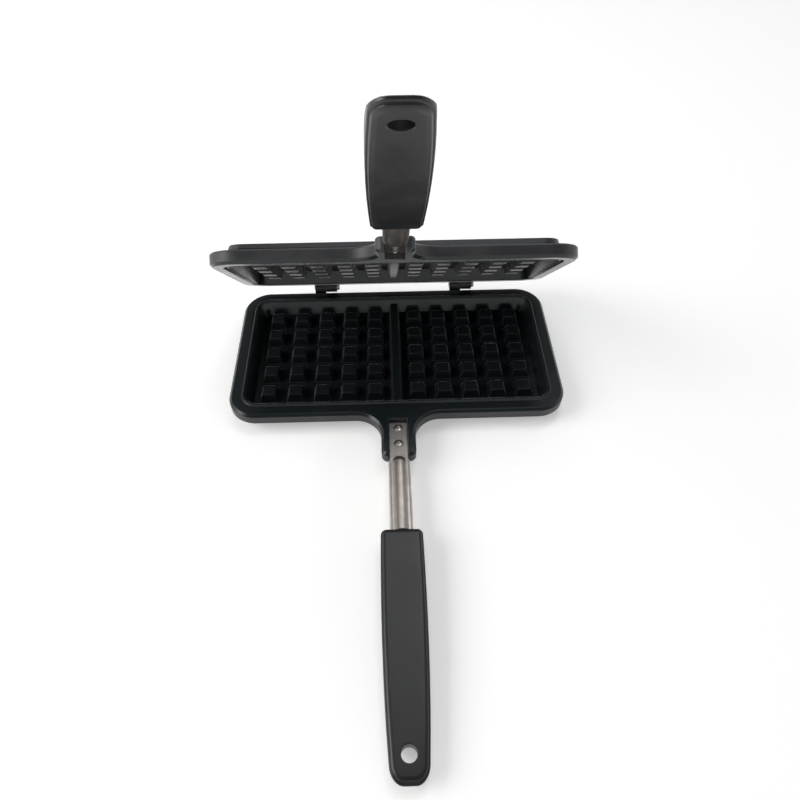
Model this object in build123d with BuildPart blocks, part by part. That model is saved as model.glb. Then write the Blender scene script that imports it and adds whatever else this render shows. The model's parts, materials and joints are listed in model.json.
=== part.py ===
"""Stove-top waffle mould: two hinged cast plates, each with a steel stem and a moulded grip.

Millimetres. The origin is the centre of the lower plate's flat underside, +Y points to the
hinge and +Z up. The lower half lies level. The upper half is the same half turned over onto
the parting plane and then opened about the hinge pins by `rest_angle` degrees.

Both halves are modelled flat, where the lower one lies, and the upper one is then put in its
place: z = 0 is the flat outside face of the plate and z = half_thickness is the rim plane that
meets the other half.
"""

import math
import os

from build123d import *

os.makedirs("parts", exist_ok=True)

# Plate outline and thickness
plate_width = 198.6
plate_depth = 108.4
corner_radius = 17.0
half_thickness = 11.5
wall_height = 7.4
rim_chamfer = 1.5
foot_chamfer = 0.8
base_inset_side = 10.5
base_inset_front = 8.0
base_draft = 18.0

# Cooking cavity
cavity_inset = 9.6
cavity_depth = 8.0
cavity_draft = 25.0

# Pegs and the divider between their two blocks
peg_spacing = 16.0
pegs_per_side = 5
peg_base = 10.7
peg_height = 5.3
peg_draft = 17.0
peg_to_divider = 3.8
divider_base = 7.2
divider_top = 4.5

# Sealing bead on the lower rim and the groove that takes it in the upper rim
bead_inset = 7.4
bead_width = 1.8
bead_height = 0.8
bead_draft = 25.0
groove_clearance = 0.3

# Forked neck
neck_width = 19.4
neck_length = 29.6
neck_root_radius = 15.0
prong_round = 3.9
slot_width = 10.7
slot_start = 4.0
slot_floor = 2.2

# Hinge
rest_angle = 45.9
parting_gap = 0.4
hinge_setback = 5.1
hinge_half_spacing = 46.0
barrel_radius = 3.8
lug_width = 7.2
lug_gap = 0.3
lug_heel = 1.6
lug_root = 1.0
pin_radius = 1.5
pin_fit = 0.05
pin_head_radius = 2.5
pin_head_height = 1.6
pin_tail = 0.6

# Pressed steel stem
stem_width = 12.0
stem_height = 5.5
stem_sheet = 1.6
stem_corner = 1.6
tongue_thickness = 2.0
tongue_side_gap = 0.2
tongue_end_gap = 0.4
tongue_overlap = 3.0
stem_beyond_fork = 0.6
rib_width = 7.2
rib_height = 1.1
rib_before_fork_end = 1.4
rib_end_gap = 0.3
tang_length = 36.0
bend_beyond_root = 2.0
bend_radius = 60.0

# Rivets that hold the stem in the fork
rivet_radius = 1.6
rivet_fit = 0.05
rivet_head_radius = 2.6
rivet_head_height = 0.6
rivet_end_draft = 30.0
rivet_dimple_radius = 1.1
rivet_dimple_depth = 0.45
rivet_dimple_draft = 30.0
rivet_from_slot = 4.6
rivet_spacing = 10.9

# Moulded grip
grip_start = 74.1
grip_drop = 1.1
grip_tilt = 3.7
grip_length = 113.2
grip_width_root = 21.4
grip_width_full = 21.9
grip_width_waist = 19.95
grip_width_end = 16.2
grip_full_at = 38.0
grip_waist_from_tip = 31.0
grip_root_corner = 4.0
grip_tip_corner = 7.3
grip_root_thickness = 10.0
grip_mid_thickness = 11.2
grip_heel_thickness = 9.3
grip_nose_thickness = 2.9
grip_mid_at = 50.0
grip_heel_from_tip = 16.5
grip_heel_round = 40.0
grip_back_round = 2.1
panel_ledge = 0.8
panel_tip_ledge = 2.8
panel_height = 1.2
panel_chamfer = 0.5
pocket_gap = 0.05
hang_hole_radius = 3.5
hang_hole_from_tip = 11.6
hang_hole_chamfer = 0.4

# Grip screw
screw_beyond_bend = 15.0
screw_length = 6.3
screw_radius = 2.0
screw_fit = 0.05
screw_head_radius = 3.6
screw_head_height = 2.0
screw_head_gap = 0.4
head_chamfer = 0.5

# Places that follow from the sizes above
wall_foot = half_thickness - wall_height
floor_level = half_thickness - cavity_depth
front_y = -plate_depth / 2
back_y = plate_depth / 2
hinge_y = back_y + hinge_setback
hinge_level = half_thickness + parting_gap / 2
fork_end_y = front_y - neck_length
slot_start_y = front_y - slot_start
slot_level = wall_foot + slot_floor
stem_level = slot_level + tongue_thickness
stem_start_y = fork_end_y - stem_beyond_fork
grip_root_y = front_y - grip_start
grip_level = half_thickness - grip_drop
bend_y = grip_root_y - bend_beyond_root
peg_block_x = divider_base / 2 + peg_to_divider + peg_base / 2 + peg_spacing * (pegs_per_side - 1) / 2
lug_offset = (lug_gap + lug_width) / 2


def turned(plane, centre, degrees_open):
    """The plane turned about an axis along X through `centre`, so that its front edge lifts."""
    angle = math.radians(-degrees_open)
    cosine = math.cos(angle)
    sine = math.sin(angle)

    def turn(v):
        return Vector(v.X, v.Y * cosine - v.Z * sine, v.Y * sine + v.Z * cosine)

    origin = turn(plane.origin - centre) + centre
    return Plane(origin=origin, x_dir=turn(plane.x_dir), z_dir=turn(plane.z_dir))


lower_place = Plane.XY
closed_place = Plane(
    origin=(0, 0, 2 * half_thickness + parting_gap), x_dir=(-1, 0, 0), z_dir=(0, 0, -1)
)
upper_place = turned(closed_place, Vector(0, hinge_y, hinge_level), rest_angle)


def side_plane(x=0.0):
    """Plane across a half at x, with sketch axes along Y and Z."""
    return Plane(origin=(x, 0, 0), x_dir=(0, 1, 0), z_dir=(1, 0, 0))


def level_plane(y, z):
    """Plane parallel to the rim at y and z."""
    return Plane(origin=(0, y, z))


def cross_plane(y, z=0.0):
    """Plane square to the handle at y and z; extrusions run towards the grip."""
    return Plane(origin=(0, y, z), x_dir=(1, 0, 0), z_dir=(0, -1, 0))


def tilted_plane(y, z):
    """Plane at the grip's tilt through y and z, its normal away from the grip's back."""
    tilt = math.radians(grip_tilt)
    return Plane(origin=(0, y, z), x_dir=(1, 0, 0), z_dir=(0, -math.sin(tilt), math.cos(tilt)))


grip_face = tilted_plane(grip_root_y, grip_level)
grip_side_plane = Plane(origin=grip_face.origin, x_dir=grip_face.y_dir, z_dir=grip_face.x_dir)


def screw_plane():
    """Plane on top of the stem's tang where the grip screw comes through it."""
    tilt = math.radians(grip_tilt)
    y = bend_y - bend_radius * math.sin(tilt) - screw_beyond_bend * math.cos(tilt)
    z = stem_level - bend_radius * (1 - math.cos(tilt)) - screw_beyond_bend * math.sin(tilt)
    return tilted_plane(y, z)


def along(plane):
    """Axis along a plane's normal, for picking faces by their height over it."""
    return Axis(plane.origin, plane.z_dir)


def dome(plane, half_width, height):
    """Spherical cap that stands on a plane at its origin."""
    radius = (half_width**2 + height**2) / (2 * height)
    edge_angle = math.degrees(math.atan2(radius - height, half_width))
    section = Plane(origin=plane.origin, x_dir=plane.x_dir, z_dir=-plane.y_dir)
    with BuildSketch(section) as half_section:
        with BuildLine():
            flank = CenterArc((0, height - radius), radius, edge_angle, 90 - edge_angle)
            Polyline(flank @ 0, (0, 0), flank @ 1)
        make_face()
    revolve(half_section.sketch, axis=Axis(plane.origin, plane.z_dir))


# Cast plate


def neck_outline():
    """Forked neck in plan, flared into the front wall by concave root arcs."""
    half = neck_width / 2
    root_x = half + neck_root_radius
    root_y = front_y - neck_root_radius
    inside_y = front_y + corner_radius / 2
    bulge = neck_root_radius * (1 - math.sqrt(0.5))
    with BuildLine() as outline:
        for side in (-1, 1):
            Line((side * half, fork_end_y), (side * half, root_y))
            ThreePointArc(
                (side * half, root_y),
                (side * (half + bulge), front_y - bulge),
                (side * root_x, front_y),
            )
            Line((side * root_x, front_y), (side * root_x, inside_y))
        Line((-half, fork_end_y), (half, fork_end_y))
        Line((-root_x, inside_y), (root_x, inside_y))
    return outline.line


def plate_body():
    """Wall band with its neck and chamfered edges, on a drafted base pad."""
    with BuildSketch(Plane.XY.offset(wall_foot)) as band:
        RectangleRounded(plate_width, plate_depth, corner_radius)
        make_face(neck_outline())
        fillet(vertices().group_by(Axis.Y)[0], radius=prong_round)
    extrude(band.sketch, amount=wall_height)
    chamfer(faces().sort_by(Axis.Z)[-1].edges(), length=rim_chamfer)
    chamfer(faces().sort_by(Axis.Z)[0].edges(), length=foot_chamfer)
    with BuildSketch(Plane.XY) as pad:
        RectangleRounded(
            plate_width - 2 * base_inset_side,
            plate_depth - 2 * base_inset_front,
            corner_radius - base_inset_front,
        )
    extrude(pad.sketch, amount=wall_foot, taper=-base_draft)


def cooking_cavity():
    """Drafted tray sunk into the rim plane."""
    with BuildSketch(Plane.XY.offset(half_thickness)) as mouth:
        RectangleRounded(
            plate_width - 2 * cavity_inset,
            plate_depth - 2 * cavity_inset,
            corner_radius - cavity_inset,
        )
    extrude(mouth.sketch, amount=-cavity_depth, taper=cavity_draft, mode=Mode.SUBTRACT)


def peg_grid():
    """Two blocks of drafted square pegs, one in each half of the cavity."""
    with BuildSketch(Plane.XY.offset(floor_level)) as bases:
        with Locations((-peg_block_x, 0), (peg_block_x, 0)):
            with GridLocations(peg_spacing, peg_spacing, pegs_per_side, pegs_per_side):
                Rectangle(peg_base, peg_base)
    extrude(bases.sketch, amount=peg_height, taper=peg_draft)


def divider_ridge():
    """Drafted ridge between the blocks of pegs, run out into the cavity's end walls."""
    wall_run = math.tan(math.radians(cavity_draft))
    half_length = back_y - cavity_inset - (cavity_depth - peg_height) * wall_run
    with BuildSketch(cross_plane(0, floor_level)) as section:
        with BuildLine():
            Polyline(
                (-divider_base / 2, 0),
                (divider_base / 2, 0),
                (divider_top / 2, peg_height),
                (-divider_top / 2, peg_height),
                close=True,
            )
        make_face()
    extrude(section.sketch, amount=half_length, both=True)


def rim_ring(inset, width):
    """Plan of a ring that follows the plate's edge at an inset from it."""
    RectangleRounded(plate_width - 2 * inset, plate_depth - 2 * inset, corner_radius - inset)
    inner = inset + width
    RectangleRounded(
        plate_width - 2 * inner,
        plate_depth - 2 * inner,
        corner_radius - inner,
        mode=Mode.SUBTRACT,
    )


def rim_bead():
    """Drafted bead between the wall and the cavity."""
    with BuildSketch(Plane.XY.offset(half_thickness)) as ring:
        rim_ring(bead_inset, bead_width)
    extrude(ring.sketch, amount=bead_height, taper=bead_draft)


def rim_groove():
    """Drafted groove that takes the other half's bead."""
    with BuildSketch(Plane.XY.offset(half_thickness)) as ring:
        rim_ring(bead_inset - groove_clearance, bead_width + 2 * groove_clearance)
    extrude(
        ring.sketch,
        amount=-bead_height - groove_clearance,
        taper=bead_draft,
        mode=Mode.SUBTRACT,
    )


def stem_slot():
    """Open slot of the fork with the holes for the two rivets in its floor."""
    slot_length = slot_start_y - fork_end_y
    with BuildSketch(Plane.XY.offset(half_thickness)) as slot:
        with Locations((0, slot_start_y)):
            Rectangle(slot_width, 2 * slot_length, align=(Align.CENTER, Align.MAX))
    extrude(slot.sketch, amount=slot_level - half_thickness, mode=Mode.SUBTRACT)
    rivet_holes()


def hinge_lug(x, bore_radius):
    """Barrel beside the back wall at x, on a web that runs into the wall."""
    with BuildSketch(side_plane(x)) as profile:
        with BuildLine():
            Polyline(
                (back_y - lug_root, wall_foot + lug_heel),
                (hinge_y, hinge_level - barrel_radius),
                (hinge_y, hinge_level),
                (back_y - lug_root, half_thickness - rim_chamfer),
                close=True,
            )
        make_face()
        with Locations((hinge_y, hinge_level)):
            Circle(barrel_radius)
    extrude(profile.sketch, amount=lug_width / 2, both=True)
    with BuildSketch(side_plane(x)) as bore:
        with Locations((hinge_y, hinge_level)):
            Circle(bore_radius)
    extrude(bore.sketch, amount=lug_width / 2, both=True, mode=Mode.SUBTRACT)


# Stem


def stem_path():
    """Line along the top of the stem, level to the grip and then at the grip's tilt."""
    with BuildLine(side_plane()) as path:
        level = Line((stem_start_y, stem_level), (bend_y, stem_level))
        bend = JernArc(level @ 1, level % 1, radius=bend_radius, arc_size=grip_tilt)
        Line(bend @ 1, bend @ 1 + (bend % 1) * tang_length)
    return path.wires()[0]


def channel_section(allowance):
    """Section of the stem's channel, or of the pocket that takes it, `allowance` larger."""
    width = stem_width + 2 * allowance
    sheet = stem_sheet + 2 * allowance
    with BuildSketch(cross_plane(stem_start_y, stem_level)) as section:
        with Locations((0, allowance)):
            Rectangle(width, stem_height + 2 * allowance, align=(Align.CENTER, Align.MAX))
        fillet(vertices().group_by(Axis.Y)[-1], radius=stem_corner)
        with Locations((0, allowance - sheet)):
            Rectangle(
                width - 2 * sheet,
                stem_height,
                align=(Align.CENTER, Align.MAX),
                mode=Mode.SUBTRACT,
            )
    return section.sketch


def stem_channel():
    """Pressed channel with rounded shoulders, bent where it enters the grip."""
    sweep(channel_section(0), path=stem_path())


def stem_tongue():
    """Flat end of the stem that lies in the fork, with its rivet holes."""
    tongue_start_y = slot_start_y - tongue_end_gap
    tongue_length = tongue_start_y - stem_start_y + tongue_overlap
    with BuildSketch(Plane.XY.offset(slot_level)) as tongue:
        with Locations((0, tongue_start_y)):
            Rectangle(
                slot_width - 2 * tongue_side_gap, tongue_length, align=(Align.CENTER, Align.MAX)
            )
    extrude(tongue.sketch, amount=tongue_thickness)
    rivet_holes()


def stem_rib():
    """Half-round stiffening rib pressed up along the stem, with a domed start at the fork."""
    radius = (rib_width**2 / 4 + rib_height**2) / (2 * rib_height)
    edge_angle = math.degrees(math.atan2(radius - rib_height, rib_width / 2))
    dome_y = fork_end_y + rib_before_fork_end - rib_width / 2
    with BuildSketch(cross_plane(dome_y, stem_level)) as section:
        with BuildLine():
            crown = CenterArc((0, rib_height - radius), radius, edge_angle, 180 - 2 * edge_angle)
            Line(crown @ 0, crown @ 1)
        make_face()
    extrude(section.sketch, amount=dome_y - grip_root_y - rib_end_gap)
    dome(level_plane(dome_y, stem_level), rib_width / 2, rib_height)


# Rivets and screw


def rivet_places():
    """The y of each rivet along the fork."""
    first = slot_start_y - rivet_from_slot
    return (first, first - rivet_spacing)


def rivet_holes():
    """Clearance holes for the rivets through whatever they hold."""
    with BuildSketch(Plane.XY) as holes:
        for y in rivet_places():
            with Locations((0, y)):
                Circle(rivet_radius + rivet_fit)
    extrude(holes.sketch, amount=half_thickness, mode=Mode.SUBTRACT)


def rivet(y):
    """Rivet with a set end under the fork and a dimpled dome on the stem's tongue."""
    under_fork = level_plane(y, wall_foot)
    on_tongue = level_plane(y, stem_level)
    with BuildSketch(under_fork) as shank:
        Circle(rivet_radius)
    extrude(shank.sketch, amount=stem_level - wall_foot)
    with BuildSketch(under_fork) as set_end:
        Circle(rivet_head_radius)
    extrude(set_end.sketch, amount=-rivet_head_height, taper=rivet_end_draft)
    dome(on_tongue, rivet_head_radius, rivet_head_height)
    with BuildSketch(on_tongue.offset(rivet_head_height)) as dimple:
        Circle(rivet_dimple_radius)
    extrude(dimple.sketch, amount=-rivet_dimple_depth, taper=rivet_dimple_draft, mode=Mode.SUBTRACT)


def screw():
    """Screw from the back of the grip into the stem, its head sunk in the grip."""
    seat = screw_plane().offset(-screw_length)
    with BuildSketch(seat) as shank:
        Circle(screw_radius)
    extrude(shank.sketch, amount=screw_length)
    with BuildSketch(seat) as head:
        Circle(screw_head_radius)
    extrude(head.sketch, amount=-screw_head_height)
    chamfer(faces().sort_by(along(seat))[0].edges(), length=head_chamfer)


# Grip


def grip_side(side, inset, tip_inset):
    """One long edge of the grip in plan, from its root to its tip."""
    return Spline(
        (side * (grip_width_root / 2 - inset), -inset),
        (side * (grip_width_full / 2 - inset), -grip_full_at),
        (side * (grip_width_waist / 2 - inset), grip_waist_from_tip - grip_length),
        (side * (grip_width_end / 2 - inset), tip_inset - grip_length),
    )


def grip_outline(inset=0.0, tip_inset=0.0):
    """Grip in plan, widest near its root, with rounded corners."""
    with BuildLine() as outline:
        left = grip_side(-1, inset, tip_inset)
        right = grip_side(1, inset, tip_inset)
        Line(left @ 0, right @ 0)
        Line(left @ 1, right @ 1)
    make_face(outline.line)
    fillet(vertices().group_by(Axis.Y)[0], radius=grip_tip_corner - inset)
    fillet(vertices().group_by(Axis.Y)[-1], radius=grip_root_corner - inset)


def grip_body():
    """Grip with a bowed back, a thin nose, and a stepped panel as its face."""
    step = grip_face.offset(-panel_height)
    with BuildSketch(step) as plan:
        grip_outline()
    extrude(plan.sketch, amount=-grip_mid_thickness)
    root = (0, -grip_root_thickness)
    heel = (grip_heel_from_tip - grip_length, -grip_heel_thickness)
    tip = (-grip_length, -grip_nose_thickness)
    with BuildSketch(grip_side_plane) as profile:
        with BuildLine():
            ThreePointArc(root, (-grip_mid_at, -grip_mid_thickness), heel)
            Polyline(heel, tip, (-grip_length, -panel_height), (0, -panel_height), root)
        make_face()
        fillet(vertices().sort_by(Axis.X)[2], radius=grip_heel_round)
    extrude(profile.sketch, amount=grip_width_full, both=True, mode=Mode.INTERSECT)
    back = faces().sort_by(along(grip_face))[0]
    fillet(back.edges(), radius=grip_back_round)
    with BuildSketch(step) as panel:
        grip_outline(panel_ledge, panel_tip_ledge)
    extrude(panel.sketch, amount=panel_height)
    chamfer(faces().sort_by(along(grip_face))[-1].edges(), length=panel_chamfer)


def stem_pocket():
    """Pocket in the grip round the stem's tang, with the grip's core inside the channel."""
    sweep(channel_section(pocket_gap), path=stem_path(), mode=Mode.SUBTRACT)


def hang_hole():
    """Hole through the tip of the grip for hanging it up."""
    with BuildSketch(grip_face) as hole:
        with Locations((0, hang_hole_from_tip - grip_length)):
            Circle(hang_hole_radius)
    extrude(hole.sketch, amount=-grip_mid_thickness, mode=Mode.SUBTRACT)
    rim = faces().sort_by(along(grip_face))[-1].inner_wires()[0]
    chamfer(rim.edges(), length=hang_hole_chamfer)


def screw_seat():
    """Hole and sunk seat for the screw in the back of the grip."""
    seat = screw_plane().offset(-screw_length)
    with BuildSketch(seat) as hole:
        Circle(screw_radius + screw_fit)
    extrude(hole.sketch, amount=screw_length, mode=Mode.SUBTRACT)
    with BuildSketch(seat) as sink:
        Circle(screw_head_radius + screw_head_gap)
    extrude(sink.sketch, amount=-grip_mid_thickness, mode=Mode.SUBTRACT)


# The two halves


def keep(piece, place, name):
    """Put a finished piece where its half stands, name it and write it."""
    placed = piece.part.moved(place.location)
    placed.label = name
    export_step(placed, f"parts/{name}.step")


for half, place, seal, bore_radius in (
    ("lower", lower_place, rim_bead, pin_radius),
    ("upper", upper_place, rim_groove, pin_radius + pin_fit),
):
    with BuildPart() as plate:
        plate_body()
        cooking_cavity()
        peg_grid()
        divider_ridge()
        seal()
        stem_slot()
        for hinge_x in (-hinge_half_spacing, hinge_half_spacing):
            hinge_lug(hinge_x - lug_offset, bore_radius)
    keep(plate, place, f"{half}_plate")

    with BuildPart() as stem:
        stem_channel()
        stem_tongue()
        stem_rib()
        with BuildSketch(screw_plane()):
            Circle(screw_radius + screw_fit)
        extrude(amount=-stem_sheet, mode=Mode.SUBTRACT)
    keep(stem, place, f"{half}_stem")

    with BuildPart() as rivets:
        for rivet_y in rivet_places():
            rivet(rivet_y)
    keep(rivets, place, f"{half}_rivets")

    with BuildPart() as grip:
        grip_body()
        stem_pocket()
        hang_hole()
        screw_seat()
    keep(grip, place, f"{half}_grip")

    with BuildPart() as grip_screw:
        screw()
    keep(grip_screw, place, f"{half}_grip_screw")

# Hinge pins, tight in the lower lugs and turning in the upper ones

with BuildPart() as hinge_pins:
    pin_length = pin_tail + 2 * lug_width + 2 * lug_gap
    for hinge_x in (-hinge_half_spacing, hinge_half_spacing):
        head_x = hinge_x + 1.5 * lug_gap + lug_width
        with BuildSketch(side_plane(head_x)):
            with Locations((hinge_y, hinge_level)):
                Circle(pin_radius)
        extrude(amount=-pin_length)
        with BuildSketch(side_plane(head_x)):
            with Locations((hinge_y, hinge_level)):
                Circle(pin_head_radius)
        head = extrude(amount=pin_head_height)
        chamfer(head.faces().sort_by(Axis.X)[-1].edges(), length=head_chamfer)
keep(hinge_pins, lower_place, "hinge_pins")
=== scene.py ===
"""Looks of a double-sided waffle mould, half open on a white studio table.

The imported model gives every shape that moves: two cast plates, their stems,
rivets, grips, screws and the hinge pins. This script dresses them in
procedural finishes, models the grips and their screws more finely than the
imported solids, and sets the studio round them. All lengths are in metres, in
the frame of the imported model: X across the plates, Y from the handles towards
the hinge, Z up from the base of the lower plate.
"""

import json
import logging
import math
from dataclasses import dataclass, field
from enum import Enum
from typing import Callable

import bmesh
import bpy
from mathutils import Matrix, Vector

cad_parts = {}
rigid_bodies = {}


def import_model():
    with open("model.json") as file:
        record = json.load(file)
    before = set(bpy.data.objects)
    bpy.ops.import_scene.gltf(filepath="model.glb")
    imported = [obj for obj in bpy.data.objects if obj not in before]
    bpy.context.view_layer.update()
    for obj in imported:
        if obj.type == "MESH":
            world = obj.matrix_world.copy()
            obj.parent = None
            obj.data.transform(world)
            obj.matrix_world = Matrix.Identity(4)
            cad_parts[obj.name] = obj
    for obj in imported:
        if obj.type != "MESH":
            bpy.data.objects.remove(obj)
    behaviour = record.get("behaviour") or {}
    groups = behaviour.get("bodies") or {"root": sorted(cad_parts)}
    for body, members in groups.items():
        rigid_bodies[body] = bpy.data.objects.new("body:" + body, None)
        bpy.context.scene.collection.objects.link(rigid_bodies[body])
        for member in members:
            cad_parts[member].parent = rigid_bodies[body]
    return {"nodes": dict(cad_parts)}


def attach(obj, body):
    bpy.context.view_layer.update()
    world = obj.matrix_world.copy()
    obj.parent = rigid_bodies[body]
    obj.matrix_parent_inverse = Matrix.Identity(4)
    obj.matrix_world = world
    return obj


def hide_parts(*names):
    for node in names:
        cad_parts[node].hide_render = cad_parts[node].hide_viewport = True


for leftover in list(bpy.data.objects):
    bpy.data.objects.remove(leftover)
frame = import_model()
bpy.context.view_layer.update()

log = logging.getLogger("waffle_mould")

Colour = tuple[float, float, float, float]
Point = tuple[float, float, float]
Pair = tuple[float, float]
Socket = bpy.types.NodeSocket

# Tolerances of picking parts of a mesh: distances in metres, and a normal's share along Z.
ON_PLANE = 1e-5
SAME_ROW = 2e-6
SAME_POINT = 1e-6
NEAR_MIDDLE = 1e-4
LEVEL = 0.999


class Half(Enum):
    """The two halves of the mould, by the prefix of their nodes' names."""

    LOWER = "lower"
    UPPER = "upper"

    @property
    def body(self) -> str:
        """Name of the body that the half moves with."""
        return "base" if self is Half.LOWER else "lid"


@dataclass(frozen=True)
class Place:
    """Where a half lies.

    A half's own axes have X across, Y towards the hinge and Z out of the cooking face.
    """

    hinge_y: float = 0.0593
    hinge_level: float = 0.0117
    rest_angle: float = math.radians(45.9)

    def matrix(self, half: Half) -> Matrix:
        """Places a half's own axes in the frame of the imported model.

        Args:
            half: The half that is placed.

        Returns:
            The matrix from the half's own axes to the frame.
        """
        if half is Half.LOWER:
            return Matrix.Identity(4)
        flipped = Matrix.Translation((0, 0, 2 * self.hinge_level)) @ Matrix.Diagonal((-1, 1, -1, 1))
        centre = Matrix.Translation((0, self.hinge_y, self.hinge_level))
        turn = Matrix.Rotation(-self.rest_angle, 4, "X")
        return centre @ turn @ centre.inverted() @ flipped


class Graph:
    """Adds and links nodes in one node tree."""

    COLUMNS = 8
    COLUMN_WIDTH = 180
    ROW_HEIGHT = 220

    def __init__(self, tree: bpy.types.NodeTree) -> None:
        """Takes the tree that the nodes go into."""
        self.tree = tree
        self.count = 0

    def add(self, kind: str, **settings: object) -> bpy.types.Node:
        """Adds a node.

        Args:
            kind: The node's type name in Blender.
            **settings: Properties of the node, by name.

        Returns:
            The new node.
        """
        node = self.tree.nodes.new(kind)
        self.count += 1
        row, column = divmod(self.count, self.COLUMNS)
        node.location = (self.COLUMN_WIDTH * column, -self.ROW_HEIGHT * row)
        for name, value in settings.items():
            setattr(node, name, value)
        return node

    def feed(self, value: object, socket: Socket) -> None:
        """Links a socket to an input, or sets the input to a constant.

        Args:
            value: An output socket, or a number, vector or colour.
            socket: The input.
        """
        if isinstance(value, bpy.types.NodeSocket):
            self.tree.links.new(value, socket)
        else:
            socket.default_value = value

    def math(self, operation: str, *values: object, clamp: bool = False) -> Socket:
        """Adds a Math node on sockets or numbers and returns its output."""
        node = self.add("ShaderNodeMath", operation=operation, use_clamp=clamp)
        for value, socket in zip(values, node.inputs):
            self.feed(value, socket)
        return node.outputs[0]

    def vector(self, operation: str, *values: object) -> bpy.types.Node:
        """Adds a Vector Math node on sockets or vectors and returns the node."""
        node = self.add("ShaderNodeVectorMath", operation=operation)
        for value, socket in zip(values, node.inputs):
            self.feed(value, socket)
        return node

    def noise(
        self, where: Socket, scale: float | Socket, detail: float = 3.0, rough: float = 0.5
    ) -> Socket:
        """Adds a noise texture.

        Args:
            where: The coordinates it is read at.
            scale: Features per metre, as a number or a socket.
            detail: Octaves.
            rough: Strength of the finer octaves.

        Returns:
            The noise value's socket, from 0 to 1.
        """
        node = self.add("ShaderNodeTexNoise")
        self.feed(where, node.inputs["Vector"])
        self.feed(scale, node.inputs["Scale"])
        node.inputs["Detail"].default_value = detail
        node.inputs["Roughness"].default_value = rough
        return node.outputs["Fac"]

    def span(self, value: Socket, taken: Pair, given: Pair = (0.0, 1.0)) -> Socket:
        """Maps a value smoothly from one range to another.

        Args:
            value: The value.
            taken: The range that it is mapped from.
            given: The results at the two ends of that range.

        Returns:
            The result's socket.
        """
        node = self.add("ShaderNodeMapRange", interpolation_type="SMOOTHSTEP")
        for number, socket in zip((*taken, *given), list(node.inputs)[1:5]):
            socket.default_value = number
        self.feed(value, node.inputs[0])
        return node.outputs[0]

    def mix(self, share: object, first: object, second: object) -> Socket:
        """Mixes two colours by a share and returns the colour's socket."""
        node = self.add("ShaderNodeMix", data_type="RGBA")
        self.feed(share, node.inputs["Factor"])
        self.feed(first, node.inputs[6])
        self.feed(second, node.inputs[7])
        return node.outputs[2]

    def blend(self, share: object, first: object, second: object) -> Socket:
        """Mixes two numbers by a share and returns the number's socket."""
        node = self.add("ShaderNodeMix", data_type="FLOAT")
        self.feed(share, node.inputs["Factor"])
        self.feed(first, node.inputs[2])
        self.feed(second, node.inputs[3])
        return node.outputs[0]


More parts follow.
